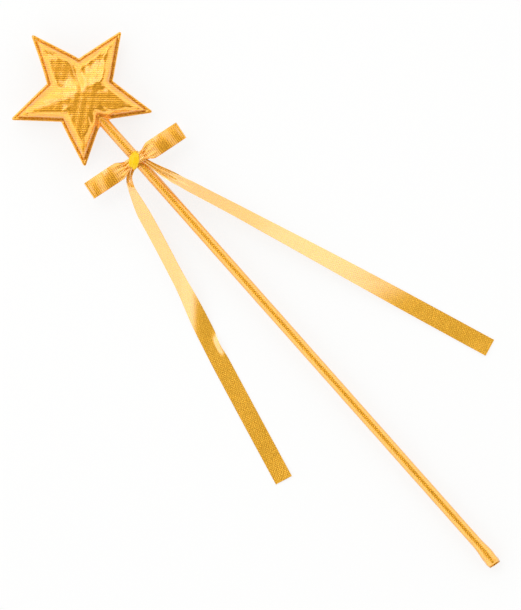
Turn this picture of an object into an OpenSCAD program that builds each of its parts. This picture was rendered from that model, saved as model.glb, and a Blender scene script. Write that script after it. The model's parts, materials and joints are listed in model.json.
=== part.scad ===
// Toy magic wand: a padded cloth star on a cloth-covered stick, with a ribbon bow and two ribbon tails.
// The wand lies on its back. +X runs along the stick from the butt end to the star, +Z comes out of
// the star's front, and the origin is the centre of the butt end.

/* [Stick] */
// Overall length, from the butt end to the star's far tip
wand_len = 462; // [400:1:540]
// Diameter of the wooden dowel
rod_d = 6; // [5:0.1:7]
// Thickness of the sleeve's cloth
sleeve_cloth = 0.5; // [0.3:0.05:0.7]
// Diameter of the hemmed butt end
butt_d = 8.8; // [8.4:0.1:11]
// Length of the hem's straight part at the butt end
hem_len = 8; // [5:0.5:14]
// Length over which the hem narrows to the sleeve
hem_taper = 10; // [6:0.5:20]
// Width of the lapped seam along the sleeve's back
lap_w = 4; // [2:0.5:5]
// Length of stick hidden inside the star
rod_in_star = 30; // [20:1:34]

/* [Star] */
// Radius from the star's centre to its tips
star_tip_r = 47.5; // [42:0.5:55]
// Radius from the star's centre to its notches
star_notch_r = 22.8; // [20:0.2:26]
// Height of the padding above and below the seam
star_loft = 9; // [7:0.5:12]
// Width of the flat border outside the stitched line
seam_border = 2.6; // [1.6:0.1:4]
// Thickness of the star's cloth
star_cloth = 0.5; // [0.3:0.05:0.7]
// Distance in from the seam at which the front stops rising
front_crown = 16.5; // [12:0.5:18]
// Distance in from the seam at which the back goes flat, to lie on a table
back_crown = 12; // [9:0.5:15]
// Turn of the star on the stick, in degrees
star_lean = -3; // [-6:0.5:6]
// Width of the top stitching's thread
thread_w = 0.5; // [0.3:0.1:0.9]

/* [Bow] */
// Distance from the star's notch to the middle of the bow
bow_drop = 33.7; // [28:0.5:60]
// Width of the ribbon
ribbon_w = 12; // [9:0.5:15]
// Thickness of the ribbon
ribbon_t = 0.4; // [0.3:0.05:0.5]
// Length of each loop, from the middle of the bow to its end
loop_len = 36.5; // [30:0.5:50]
// Fullness of each loop, the height of its belly above its middle line
loop_belly = 4.5; // [3.5:0.25:6]
// Width of the gathered ribbon where it enters the tie
gather_w = 6.8; // [6:0.2:8]
// Turn of the bow across the stick, in degrees
bow_turn = 8; // [0:1:15]
// Width of the tie where it crosses the bow
tie_w = 7; // [5:0.5:9]
// Thickness of the tie
tie_t = 0.7; // [0.5:0.05:1]
// Slant of the tie across the stick, in degrees
tie_slant = 37; // [30:1:42]

/* [Tails] */
// Length of the left tail, knot to end
left_tail_len = 225; // [150:1:280]
// Spread of the left tail away from the stick, in degrees
left_tail_out = 15; // [12:0.5:30]
// Twist of the left tail's upper half on to its edge, in degrees
left_tail_twist = 44; // [0:1:60]
// Length of the right tail, knot to end
right_tail_len = 256; // [150:1:290]
// Spread of the right tail away from the stick, in degrees
right_tail_out = 20; // [15:0.5:35]
// Twist of the right tail's upper half on to its edge, in degrees
right_tail_twist = 52; // [0:1:60]
// Length of each tail's gathered start, up to the place where the tail bends
tail_root_len = 14; // [10:0.5:20]
// Length over which a tail comes down to the table
tail_fall = 60; // [40:1:90]

/* [Hidden] */
$fn = 64;

gold = [0.93, 0.66, 0.22];
deep_gold = [0.80, 0.52, 0.14];
yellow = [1.0, 0.82, 0.10];
bare_wood = [0.86, 0.72, 0.52];
wadding = [0.95, 0.95, 0.93];

// Clearances between pieces that are glued, sewn or tied together
glue_gap = 0.1;
seat_gap = 0.15;
bend_gap = 0.9;
tunnel_gap = 0.25;
loop_gap = 0.2;

// Stick
rod_r = rod_d / 2;
sleeve_r = rod_r + glue_gap + sleeve_cloth;
lap_r = sleeve_r + sleeve_cloth;
butt_r = butt_d / 2;
rod_chamfer = 0.4;
star_span = star_tip_r + star_notch_r;
notch_x = wand_len - star_span * cos(star_lean);
stick_end = notch_x + rod_in_star;
lap_start = 1;
lap_stop = 6;

// Star outline: every edge lies at the same distance from the centre, so a scaled copy is an inset copy
half_arm = 36;
edge_turn = atan((star_tip_r / star_notch_r - cos(half_arm)) / sin(half_arm));
edge_reach = star_tip_r * cos(edge_turn);
star_x = notch_x + star_notch_r * cos(star_lean);
ridge_round = 8;
crown_power = 0.6;
cloth_shift_share = 0.6;
cloth_shift = cloth_shift_share * star_cloth;
tunnel_in_r = sleeve_r + tunnel_gap;
tunnel_out_r = tunnel_in_r + star_cloth;
thread_h = 0.3;
thread_inset = 0.1;
ring_steps = [0, 0.035, 0.1, 0.22, 0.42, 0.68];
angle_step = 7.2;
fine_angle = 15;
fine_steps = 3;

// Bow
knot_x = notch_x - bow_drop;
pleats = 2;
pleat_cuts = 8;
pleat_h = 0.6;
gather_pleat_r = 1.4;
gather_base = sleeve_r + seat_gap;
gather_lift = 1.5;
gather_top = gather_base + gather_lift + 2 * gather_pleat_r;
gather_half = 6.4;
loop_start = gather_half + loop_gap;
loop_mid_z = gather_base + (gather_top - gather_base) / 2;
loop_layers = 2.2;
loop_stations = 24;
loop_opening = 0.2;
loop_round = 0.8;
loop_slope_step = 0.004;
tie_side_w = 2.6;
tie_back_w = 3;
tie_narrowing = 1.5;
tie_stations = 28;
tie_cuts = 3;
tie_slack = 0.6;
tie_reach = sleeve_r / cos(tie_slant) + tan(tie_slant) * tie_back_w / 2 + tie_t + tie_slack;
tie_bite = 8;
tie_top = gather_top + seat_gap + tie_t / 2;
tie_bottom = -(lap_r + tie_slack + tie_t / 2);

// Tails
root_w = 3.2;
root_round = root_w / 2;
root_tip_share = 1 / 3;
root_seat = 0.4;
tail_opening = 36;
tail_twist_in = 26;
tail_rest_gap = 0.05;
root_stations = 6;
tail_stations = 22;
left_root_side = 0.6;
right_root_along = -4.6;
left_root_drop = 1.1;
right_root_rise = 1;
left_root_z = gather_base - left_root_drop;
right_root_z = gather_base + right_root_rise;
tail_lead = 0.12;
tail_trail = 0.33;
tail_slope_step = 0.002;
left_start_turn = 14;
left_end_turn = -2;
left_flat_shares = [0.42, 0.68];
right_flat_shares = [0.12, 1.1];

function ramp(t) = let (c = min(1, max(0, t))) c * c * (3 - 2 * c);
function mix(a, b, t) = a + (b - a) * t;
function unit(v) = v / norm(v);
function turned(v, a) = [v[0] * cos(a) - v[1] * sin(a), v[0] * sin(a) + v[1] * cos(a)];

// Height of the table under the wand, which lies on its butt end and the flat of its star
function table_z(x) = -butt_r - (star_loft - butt_r) * x / star_x;

// Angle from the nearest tip, 0 at a tip and half_arm at a notch
function from_tip(a) = abs((a + half_arm) % (2 * half_arm) - half_arm);
function outline_r(a) = edge_reach / cos(from_tip(a) - edge_turn);

// Plan position of a polar point of the star, on a copy of its outline scaled by s
function star_xy(s, a) =
    let (r = s * outline_r(a))
    turned([r * cos(a) + star_notch_r, r * sin(a)], star_lean) + [notch_x, 0];
function star_outline(s) = [for (k = [0:9]) star_xy(s, half_arm * k)];
function inset_scale(d) = 1 - d / edge_reach;

// Distance from the seam, rounded over the ridge of each arm
function soft_min(a, b) = min(a, b) - pow(max(ridge_round - abs(a - b), 0), 2) / (4 * ridge_round);
function seam_distance(s, a) =
    let (f = from_tip(a), r = s * outline_r(a), reach = edge_reach - seam_border)
    soft_min(reach - r * cos(f - edge_turn), reach - r * cos(f + edge_turn));
function puff(d, full) = let (u = min(1, max(0, d / full))) pow(1 - (1 - u) * (1 - u), crown_power);
function tunnel(p, r) = p[0] < star_x && abs(p[1]) < r ? sqrt(r * r - p[1] * p[1]) : 0;
function cover_out(s, a, full) =
    max(
        star_cloth + (star_loft - star_cloth) * puff(seam_distance(s, a), full),
        tunnel(star_xy(s, a), tunnel_out_r)
    );
function padding(s, a, full) =
    (star_loft - star_cloth) * puff(seam_distance(s, a) - cloth_shift, full);
function cover_in(s, a, full) = max(padding(s, a, full), tunnel(star_xy(s, a), tunnel_in_r));

// Angles round the star, closer together where the stick goes in
star_angles = [
    for (j = [0:360 / angle_step - 1])
        let (a = j * angle_step, n = abs(a + angle_step / 2 - 180) < fine_angle ? fine_steps : 1)
            for (i = [0:n - 1]) a + angle_step * i / n
];
padding_scales = [for (f = ring_steps) inset_scale(seam_border + f * (edge_reach - seam_border))];
cover_scales = concat([1], padding_scales);
stuffing_scales = [for (i = [1:len(padding_scales) - 1]) padding_scales[i]];

// Solid between two height functions over the star's plan, on rings of scaled outlines
module star_layer(scales, upper, lower) {
    n = len(star_angles);
    m = len(scales);
    half = m * n + 1;
    function layer(height) = concat(
        [for (s = scales) for (a = star_angles) let (p = star_xy(s, a)) [p[0], p[1], height(s, a)]],
        [[star_x, star_xy(0, 0)[1], height(0, 0)]]
    );
    strips = [
        for (j = [0:m - 2]) for (i = [0:n - 1])
            let (a = j * n + i, b = j * n + (i + 1) % n)
                each [[a, a + n, b + n], [a, b + n, b]]
    ];
    fans = [for (i = [0:n - 1]) [(m - 1) * n + i, m * n, (m - 1) * n + (i + 1) % n]];
    top = concat(strips, fans);
    bottom = [for (f = top) [f[0] + half, f[2] + half, f[1] + half]];
    rim = [
        for (i = [0:n - 1])
            let (k = (i + 1) % n)
                each [[i, k, k + half], [i, k + half, i + half]]
    ];
    polyhedron(points = concat(layer(upper), layer(lower)), faces = concat(top, bottom, rim));
}

// Cross-section of a band: centre p, across a, up u, width w, thickness t and pleats h high
function band_ring(p, a, u, w, t, h, cuts) =
    let (
        across = [for (i = [0:cuts]) i / cuts - 0.5],
        middle = [for (f = across) p + a * w * f + u * h * cos(360 * pleats * f)]
    )
    concat(
        [for (i = [0:cuts]) middle[i] + u * t / 2],
        [for (i = [cuts:-1:0]) middle[i] - u * t / 2]
    );

// Solid through a row of such cross-sections, with flat ends unless it closes on itself
module band(rings, closed = false) {
    n = len(rings[0]);
    m = len(rings);
    cuts = n / 2 - 1;
    sides = [
        for (k = [0:closed ? m - 1 : m - 2]) for (i = [0:n - 1])
            let (a = k * n, b = (k + 1) % m * n, j = (i + 1) % n)
                each [[a + i, a + j, b + j], [a + i, b + j, b + i]]
    ];
    ends = closed ? [] : [
        for (i = [0:cuts - 1])
            let (o = (m - 1) * n, q = n - 1 - i)
                each [
                    [o + i, o + i + 1, o + q - 1], [o + i, o + q - 1, o + q],
                    [i, q - 1, i + 1], [i, q, q - 1]
                ]
    ];
    polyhedron(points = [for (r = rings) each r], faces = concat(sides, ends));
}

// One loop of the bow: out along the top, round the end and back underneath
function loop_point(u) = [
    0,
    loop_start + (loop_len - ribbon_t / 2 - loop_start) * (1 - cos(360 * u)) / 2,
    loop_mid_z + loop_belly * sin(360 * u) * pow(sin(180 * u), loop_round)
        + loop_layers / 2 * cos(180 * u)
];
function loop_ring(u) =
    let (
        step = loop_slope_step,
        bend = unit(loop_point(min(1, u + step)) - loop_point(max(0, u - step))),
        t = u == 0 ? [0, 1, 0] : u == 1 ? [0, -1, 0] : bend,
        across = [-1, 0, 0],
        open = ramp(min(u, 1 - u) / loop_opening),
        side = u < 0.5 ? 1 : -1
    )
    band_ring(
        loop_point(u), across, cross(t, across), mix(gather_w, ribbon_w, open), ribbon_t,
        side * pleat_h * (1 - open), pleat_cuts
    );
module bow_loop() band([for (k = [0:loop_stations]) loop_ring(k / loop_stations)]);

// The tie: a slanted ring round stick and bow, wide over the front and drawn narrow at the sides
function tie_ring(angle, extra_w = 0, inner = -tie_t / 2, outer = tie_t / 2) =
    let (
        mid = (tie_top + tie_bottom) / 2,
        rise = (tie_top - tie_bottom) / 2,
        t = unit([0, tie_reach * cos(angle), -rise * sin(angle)]),
        across = [-1, 0, 0],
        front = pow(max(0, cos(angle)), tie_narrowing),
        back = pow(max(0, -cos(angle)), tie_narrowing),
        w = tie_side_w + (tie_w - tie_side_w) * front + (tie_back_w - tie_side_w) * back
    )
    band_ring(
        [0, tie_reach * sin(angle), mid + rise * cos(angle)] + cross(t, across) * (inner + outer) / 2,
        across, cross(t, across), w + extra_w, outer - inner, 0, tie_cuts
    );
module tie_band(rings) translate([knot_x, 0, 0]) rotate([0, 0, tie_slant]) band(rings, closed = true);

// A tail: side, pivot at its gathered start, length, spread, spread at start and end, twist,
// and the shares of its length between which it turns flat
bow_axis = turned([0, 1], -bow_turn);
bow_across = turned([1, 0], -bow_turn);
tie_axis = turned([0, 1], tie_slant);
tie_across = turned([1, 0], tie_slant);
knot = [knot_x, 0];
left_root_reach = tie_reach + tie_t / 2 + root_seat + root_round;
right_root_reach = gather_w / 2 + root_seat + root_round;
left_pivot = knot + left_root_reach * tie_axis + left_root_side * tie_across;
right_pivot = knot - right_root_reach * bow_across + right_root_along * bow_axis;
left_tail = [
    1, concat(left_pivot, left_root_z), left_tail_len, left_tail_out,
    left_tail_out + left_start_turn, left_tail_out + left_end_turn, left_tail_twist, left_flat_shares
];
right_tail = [
    -1, concat(right_pivot, right_root_z), right_tail_len, right_tail_out,
    right_tail_out, right_tail_out, right_tail_twist, right_flat_shares
];
function heading(tail, out) = [-cos(out), tail[0] * sin(out)];
function tail_plan(tail, t) =
    let (
        pivot = [tail[1][0], tail[1][1]],
        start = pivot - root_round * heading(tail, tail[4]),
        finish = pivot + tail[2] * heading(tail, tail[3]),
        lead = start + tail_lead * tail[2] * heading(tail, tail[4]),
        trail = finish - tail_trail * tail[2] * heading(tail, tail[5]),
        k = 1 - t
    )
    k * k * k * start + 3 * k * k * t * lead + 3 * k * t * t * trail + t * t * t * finish;
function along(tail, t) = norm(tail_plan(tail, t) - tail_plan(tail, 0));
function share_at(tail, s, lo = 0, hi = 1, n = 24) =
    let (t = (lo + hi) / 2)
    n == 0 ? t : along(tail, t) < s ? share_at(tail, s, t, hi, n - 1) : share_at(tail, s, lo, t, n - 1);
function tail_open(s) = ramp((s - root_round) / tail_opening);
function tail_width(s) =
    s < root_round / 2 ? root_w * root_tip_share : mix(root_w, ribbon_w, tail_open(s));
function tail_pleat(s) = pleat_h * (1 - ramp(s / tail_root_len));
function tail_roll(tail, s) =
    let (flat = tail[7])
    tail[6] * ramp((s - tail_root_len) / tail_twist_in)
        * (1 - ramp((s / tail[2] - flat[0]) / (flat[1] - flat[0])));
function tail_rest(tail, s) =
    ribbon_t / 2 + tail_rest_gap + tail_pleat(s) + tail_width(s) / 2 * sin(tail_roll(tail, s));
function tail_point(tail, t) =
    let (
        p = tail_plan(tail, t),
        s = along(tail, t),
        high = tail[1][2] - table_z(tail[1][0]) - tail_rest(tail, 0)
    )
    [p[0], p[1], table_z(p[0]) + tail_rest(tail, s) + high * (1 - ramp(s / tail_fall))];
function tail_ring(tail, t) =
    let (
        step = tail_slope_step,
        s = along(tail, t),
        ahead = unit(tail_point(tail, t + step) - tail_point(tail, t - step)),
        level = unit(cross([0, 0, 1], ahead)),
        above = cross(ahead, level),
        roll = tail[0] * tail_roll(tail, s)
    )
    band_ring(
        tail_point(tail, t),
        level * cos(roll) + above * sin(roll),
        above * cos(roll) - level * sin(roll),
        tail_width(s), ribbon_t, tail_pleat(s), pleat_cuts
    );
module tail_band(tail, from, to, stations)
    band([for (k = [0:stations]) tail_ring(tail, mix(from, to, k / stations))]);
module tail_gather(tail) tail_band(tail, 0, share_at(tail, tail_root_len - bend_gap / 2), root_stations);
module tail_ribbon(tail) tail_band(tail, share_at(tail, tail_root_len + bend_gap / 2), 1, tail_stations);

module on_stick() rotate([0, 90, 0]) children();
module on_bow() translate([knot_x, 0, 0]) rotate([0, 0, -bow_turn]) children();

module wand_rod() color(bare_wood) on_stick() rotate_extrude() polygon([
    [0, sleeve_cloth + glue_gap], [rod_r - rod_chamfer, sleeve_cloth + glue_gap],
    [rod_r, sleeve_cloth + glue_gap + rod_chamfer], [rod_r, stick_end - rod_chamfer],
    [rod_r - rod_chamfer, stick_end], [0, stick_end]
]);

module rod_sleeve() color(gold) on_stick() {
    lap_angle = 360 * lap_w / (2 * PI * sleeve_r);
    lap_from = hem_len + hem_taper + lap_start;
    lap_to = notch_x - lap_stop;
    rotate([0, 0, 90]) rotate_extrude() polygon([
        [0, 0], [butt_r, 0], [butt_r, hem_len], [sleeve_r, hem_len + hem_taper], [sleeve_r, stick_end],
        [rod_r + glue_gap, stick_end], [rod_r + glue_gap, sleeve_cloth], [0, sleeve_cloth]
    ]);
    lap_root = sleeve_r - glue_gap;
    rotate([0, 0, -lap_angle / 2]) rotate_extrude(angle = lap_angle)
        translate([lap_root, lap_from]) square([lap_r - lap_root, lap_to - lap_from]);
}

module star_front_cover() color(gold) star_layer(
    cover_scales,
    function (s, a) cover_out(s, a, front_crown),
    function (s, a) cover_in(s, a, front_crown)
);

module star_back_cover() color(gold) star_layer(
    cover_scales,
    function (s, a) -cover_in(s, a, back_crown),
    function (s, a) -cover_out(s, a, back_crown)
);

module star_stuffing() color(wadding) difference() {
    star_layer(
        stuffing_scales,
        function (s, a) padding(s, a, front_crown) - seat_gap,
        function (s, a) seat_gap - padding(s, a, back_crown)
    );
    on_stick() cylinder(r = sleeve_r + glue_gap, h = stick_end + glue_gap);
}

module star_stitching() color(deep_gold) {
    inner = inset_scale(seam_border - thread_inset);
    outer = inset_scale(seam_border - thread_inset - thread_w);
    gap = 2 * (tunnel_out_r + 2 * thread_w);
    for (z = [star_cloth, -star_cloth - thread_h]) difference() {
        translate([0, 0, z]) linear_extrude(thread_h) difference() {
            polygon(star_outline(outer));
            polygon(star_outline(inner));
        }
        translate([0, -gap / 2, z - thread_h]) cube([star_x, gap, 3 * thread_h]);
    }
}

module bow_gather() color(deep_gold) difference() {
    side = gather_w / 2 - gather_pleat_r;
    low = gather_base + gather_pleat_r;
    high = low + gather_lift;
    on_bow() for (p = [[-side, low], [0, low], [side, low], [-side / 2, high], [side / 2, high]])
        translate([p[0], gather_half, p[1]]) rotate([90, 0, 0])
            cylinder(r = gather_pleat_r, h = 2 * gather_half);
    tie_band([
        for (k = [0:tie_stations - 1])
            tie_ring(360 * k / tie_stations, 2 * seat_gap, -tie_t / 2 - seat_gap, tie_bite)
    ]);
}

module bow_loop_left() color(gold) on_bow() bow_loop();

module bow_loop_right() color(gold) on_bow() mirror([0, 1, 0]) bow_loop();

module bow_tie() color(yellow)
    tie_band([for (k = [0:tie_stations - 1]) tie_ring(360 * k / tie_stations)]);

module left_tail_gather() color(gold) tail_gather(left_tail);

module ribbon_tail_left() color(gold) tail_ribbon(left_tail);

module right_tail_gather() color(gold) tail_gather(right_tail);

module ribbon_tail_right() color(gold) tail_ribbon(right_tail);

// Each tail swings about its pivot at the knot and lifts where its gathered start ends
for (tail = [left_tail, right_tail]) {
    bend = share_at(tail, tail_root_len);
    ahead = tail_plan(tail, bend + tail_slope_step) - tail_plan(tail, bend - tail_slope_step);
    lift_axis = unit([ahead[1], -ahead[0], 0]);
    echo(swing_at = tail[1], lift_at = tail_point(tail, bend), lift_axis = lift_axis);
}

wand_rod();
rod_sleeve();
star_front_cover();
star_back_cover();
star_stuffing();
star_stitching();
bow_gather();
bow_loop_left();
bow_loop_right();
bow_tie();
left_tail_gather();
ribbon_tail_left();
right_tail_gather();
ribbon_tail_right();
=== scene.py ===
# %% [markdown]
# # Dressing a star-topped play wand
# The real toy is a padded cloth star sewn on the end of a cloth-covered stick, with a ribbon bow
# tied below it and two long ribbon tails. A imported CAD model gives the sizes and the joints, and
# this lesson gives the wand its cloth, ribbon and thread. Everything is in metres, in the frame of
# the CAD model: X runs along the stick from the butt end to the star, and Z comes out of the front.

# %% Load the frame
import json
import math

import bpy
import numpy as np
from mathutils import Matrix, Vector


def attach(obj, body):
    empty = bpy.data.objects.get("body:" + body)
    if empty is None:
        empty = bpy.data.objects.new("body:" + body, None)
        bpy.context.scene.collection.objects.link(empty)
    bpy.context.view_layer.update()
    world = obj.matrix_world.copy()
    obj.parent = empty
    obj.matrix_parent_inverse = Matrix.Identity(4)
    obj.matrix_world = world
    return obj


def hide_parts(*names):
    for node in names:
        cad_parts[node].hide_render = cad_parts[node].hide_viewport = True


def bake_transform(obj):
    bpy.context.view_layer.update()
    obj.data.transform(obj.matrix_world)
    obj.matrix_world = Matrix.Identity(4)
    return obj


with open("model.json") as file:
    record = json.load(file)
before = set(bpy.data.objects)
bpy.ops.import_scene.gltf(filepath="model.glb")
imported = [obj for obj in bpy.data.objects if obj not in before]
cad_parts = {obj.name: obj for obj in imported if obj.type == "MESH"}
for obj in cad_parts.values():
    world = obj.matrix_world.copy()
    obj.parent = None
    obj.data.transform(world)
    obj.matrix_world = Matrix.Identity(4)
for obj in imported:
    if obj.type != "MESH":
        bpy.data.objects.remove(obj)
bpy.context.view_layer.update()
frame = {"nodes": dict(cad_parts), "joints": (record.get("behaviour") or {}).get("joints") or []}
MM = 0.001

# %% [markdown]
# ## Working by hand, in code
# Blender's operators act on whatever is selected, and the CAD pieces come in selected. So each step
# starts by selecting nothing, or one piece only. These few helpers do what a hand does between
# steps: pick a piece up, name it, read and move its points, turn its faces outwards, and finish it
# with a modifier. Two small curves, ramp and mix, blend one value into another.

# %% Helpers for picking up and shaping
def select_nothing():
    bpy.ops.object.select_all(action="DESELECT")


def pick(piece):
    select_nothing()
    piece.select_set(True)
    bpy.context.view_layer.objects.active = piece


def name_new(name):
    piece = bpy.context.active_object
    piece.name = name
    piece.data.name = name
    return piece


def points_of(piece):
    flat = np.zeros(len(piece.data.vertices) * 3)
    piece.data.vertices.foreach_get("co", flat)
    return flat.reshape(-1, 3)


def move_points(piece, places):
    piece.data.vertices.foreach_set("co", np.ascontiguousarray(places, dtype=np.float32).ravel())
    piece.data.update()


def select_points(piece, chosen):
    for kind in (piece.data.vertices, piece.data.edges, piece.data.polygons):
        kind.foreach_set("select", np.zeros(len(kind), dtype=bool))
    piece.data.vertices.foreach_set("select", np.ascontiguousarray(chosen, dtype=bool))


def turn_outwards(piece):
    pick(piece)
    bpy.ops.object.mode_set(mode="EDIT")
    bpy.ops.mesh.select_all(action="SELECT")
    bpy.ops.mesh.normals_make_consistent(inside=False)
    bpy.ops.object.mode_set(mode="OBJECT")


def finish_with(piece, kind, **settings):
    pick(piece)
    modifier = piece.modifiers.new(kind.title(), kind)
    for key, value in settings.items():
        setattr(modifier, key, value)
    bpy.ops.object.modifier_apply(modifier=modifier.name)


def ramp(t):
    c = np.clip(t, 0.0, 1.0)
    return c * c * (3.0 - 2.0 * c)


def mix(a, b, t):
    return a + (b - a) * t


print("helpers ready")

# %% [markdown]
# ## The camera
# The photograph is a flat lay taken from straight above with a long lens. The stick runs down to
# the right at 48 degrees, so the camera hangs over the wand and is turned about its own axis
# rather than the wand being turned under it.

# %% Camera
PICTURE_MM_PER_PIXEL = 0.66
PICTURE_HEIGHT = 610 * PICTURE_MM_PER_PIXEL * MM
PICTURE_RIGHT = Vector((-0.6635, -0.7482, 0.0))
PICTURE_UP = Vector((0.7482, -0.6635, 0.0))
PICTURE_MIDDLE = Vector((231.0, 2.7, 0.0)) * MM
LENS = 300.0
SENSOR = 36.0

select_nothing()
camera_height = PICTURE_HEIGHT * LENS / SENSOR
bpy.ops.object.camera_add(location=PICTURE_MIDDLE + Vector((0.0, 0.0, camera_height)))
camera = name_new("overhead_camera")
camera.rotation_euler = Matrix((PICTURE_RIGHT, PICTURE_UP, (0.0, 0.0, 1.0))).transposed().to_euler()
camera.data.lens = LENS
camera.data.sensor_width = SENSOR
camera.data.clip_start = 0.05
bpy.context.scene.camera = camera
bpy.context.scene.view_settings.view_transform = "Standard"
print(f"camera {camera_height:.2f} m above the wand")

# %% [markdown]
# ## Floor and studio light
# Metallic cloth is mostly a picture of what stands round it. In the photograph the flat stretches
# are deep orange and the tilted ones pale, so the studio is bright all round and has a dark, warm cap
# overhead, where the camera hangs. The cap leans a little to the picture's lower right, and one soft
# lamp stands at the upper left. A sky with such a cap and one area lamp give that. The floor follows
# the table: the wand lies on its butt end and on the flat of its star.

# %% Shader helpers
def socket_value(tree, socket, value):
    if isinstance(value, bpy.types.NodeSocket):
        tree.links.new(value, socket)
    else:
        socket.default_value = value


def shader_math(tree, operation, first, second=0.0):
    node = tree.nodes.new("ShaderNodeMath")
    node.operation = operation
    socket_value(tree, node.inputs[0], first)
    socket_value(tree, node.inputs[1], second)
    return node.outputs[0]


def shader_ramp(tree, factor, stops):
    node = tree.nodes.new("ShaderNodeValToRGB")
    tree.links.new(factor, node.inputs["Fac"])
    spots = node.color_ramp.elements
    while len(spots) < len(stops):
        spots.new(1.0)
    for spot, (place, colour) in zip(spots, stops):
        spot.position = place
        spot.color = (*colour, 1.0)
    return node.outputs["Color"]


def shader_noise(tree, place, scale, detail):
    node = tree.nodes.new("ShaderNodeTexNoise")
    node.inputs["Scale"].default_value = scale
    node.inputs["Detail"].default_value = detail
    tree.links.new(place, node.inputs["Vector"])
    return node.outputs["Fac"]


def raise_bump(tree, shader, height, depth):
    bump = tree.nodes.new("ShaderNodeBump")
    bump.inputs["Strength"].default_value = 1.0
    bump.inputs["Distance"].default_value = depth
    tree.links.new(height, bump.inputs["Height"])
    tree.links.new(bump.outputs[0], shader.inputs["Normal"])


def new_finish(name):
    material = bpy.data.materials.new(name)
    material.use_nodes = True
    tree = material.node_tree
    return material, tree, tree.nodes["Principled BSDF"]


print("shader helpers ready")

# %% Floor
BUTT_R = 4.4
STAR_LOFT = 9.0
STAR_X = 414.57
TABLE_SLOPE = (STAR_LOFT - BUTT_R) / STAR_X
FLOOR_DROP = 0.08
FLOOR_SIZE = 6.0
WHITE_SHARE = 0.8


def table_height(x):
    return -BUTT_R - TABLE_SLOPE * x


def pale_floor():
    material = bpy.data.materials.new("pale_floor")
    material.use_nodes = True
    tree = material.node_tree
    tree.nodes.clear()
    light_path = tree.nodes.new("ShaderNodeLightPath")
    seen = shader_math(tree, "MAXIMUM", light_path.outputs["Is Camera Ray"],
                       light_path.outputs["Is Glossy Ray"])
    seen = shader_math(tree, "MAXIMUM", seen, light_path.outputs["Is Transmission Ray"])
    share = shader_math(tree, "MULTIPLY", seen, WHITE_SHARE)
    paint = tree.nodes.new("ShaderNodeBsdfDiffuse")
    paint.inputs["Color"].default_value = (0.9, 0.9, 0.9, 1.0)
    glow = tree.nodes.new("ShaderNodeEmission")
    glow.inputs["Strength"].default_value = 1.0
    blend = tree.nodes.new("ShaderNodeMixShader")
    out = tree.nodes.new("ShaderNodeOutputMaterial")
    tree.links.new(share, blend.inputs[0])
    tree.links.new(paint.outputs[0], blend.inputs[1])
    tree.links.new(glow.outputs[0], blend.inputs[2])
    tree.links.new(blend.outputs[0], out.inputs["Surface"])
    return material


select_nothing()
floor_z = (table_height(0.0) - FLOOR_DROP) * MM
bpy.ops.mesh.primitive_plane_add(size=FLOOR_SIZE, location=(0.0, 0.0, floor_z))
floor = name_new("floor")
floor.rotation_euler = (0.0, math.atan(TABLE_SLOPE), 0.0)
floor.data.materials.append(pale_floor())
print(f"floor falls {math.degrees(math.atan(TABLE_SLOPE)):.2f} degrees towards the star")

# %% Sky and lamp
SKY_RING = (1.5, 1.55, 1.55)
SKY_EDGE = (0.75, 0.72, 0.7)
SKY_CAP = (0.15, 0.09, 0.025)
CAP_LEAN = math.radians(10.0)


def studio_sky():
    world = bpy.data.worlds.new("studio_sky")
    world.use_nodes = True
    tree = world.node_tree
    tree.nodes.clear()
    place = tree.nodes.new("ShaderNodeTexCoord")
    towards_cap = tree.nodes.new("ShaderNodeVectorMath")
    towards_cap.operation = "DOT_PRODUCT"
    tree.links.new(place.outputs["Generated"], towards_cap.inputs[0])
    lean = (PICTURE_RIGHT - PICTURE_UP).normalized() * math.sin(CAP_LEAN)
    towards_cap.inputs[1].default_value = lean + Vector((0.0, 0.0, math.cos(CAP_LEAN)))
    level = shader_ramp(tree, towards_cap.outputs["Value"], [
        (0.0, SKY_RING),
        (0.66, SKY_RING),
        (0.8, SKY_EDGE),
        (0.88, SKY_CAP),
    ])
    light_path = tree.nodes.new("ShaderNodeLightPath")
    choose = tree.nodes.new("ShaderNodeMix")
    choose.data_type = "RGBA"
    tree.links.new(light_path.outputs["Is Camera Ray"], choose.inputs["Factor"])
    tree.links.new(level, choose.inputs["A"])
    choose.inputs["B"].default_value = (1.0, 1.0, 1.0, 1.0)
    glow = tree.nodes.new("ShaderNodeBackground")
    tree.links.new(choose.outputs["Result"], glow.inputs["Color"])
    out = tree.nodes.new("ShaderNodeOutputWorld")
    tree.links.new(glow.outputs[0], out.inputs["Surface"])
    return world


def soft_lamp(name, across, rise, distance, size, brightness):
    aim = Vector((*across, 0.0)).normalized() * math.cos(math.radians(rise))
    aim.z = math.sin(math.radians(rise))
    select_nothing()
    bpy.ops.object.light_add(type="AREA", location=PICTURE_MIDDLE + aim * distance)
    lamp = name_new(name)
    lamp.rotation_euler = aim.to_track_quat("Z", "Y").to_euler()
    lamp.data.shape = "RECTANGLE"
    lamp.data.size = size[0]
    lamp.data.size_y = size[1]
    lamp.data.energy = brightness * math.pi * size[0] * size[1]
    return lamp


bpy.context.scene.world = studio_sky()
upper_left = PICTURE_UP.xy - PICTURE_RIGHT.xy
lamp = soft_lamp("left_lamp", upper_left, rise=60.0, distance=1.15, size=(0.44, 0.4), brightness=3.0)
print(f"sky set, lamp of {lamp.data.energy:.2f} W")

# %% [markdown]
# ## Gold cloth
# The star, the sleeve and the ribbon are lame: flat metallic threads over a yellow ground, woven in
# fine ribs. One shader reads two lengths on the cloth, across the ribs and along them, and lifts each
# thread with a bump, so that flat cloth sparkles in dots where it faces the dark cap and looks smooth
# where it faces the bright walls. Thread tops are pale gold, and the ground between them is deeper. A
# thin clear film over all, the coat, adds the pale sheen of tilted cloth.

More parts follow.
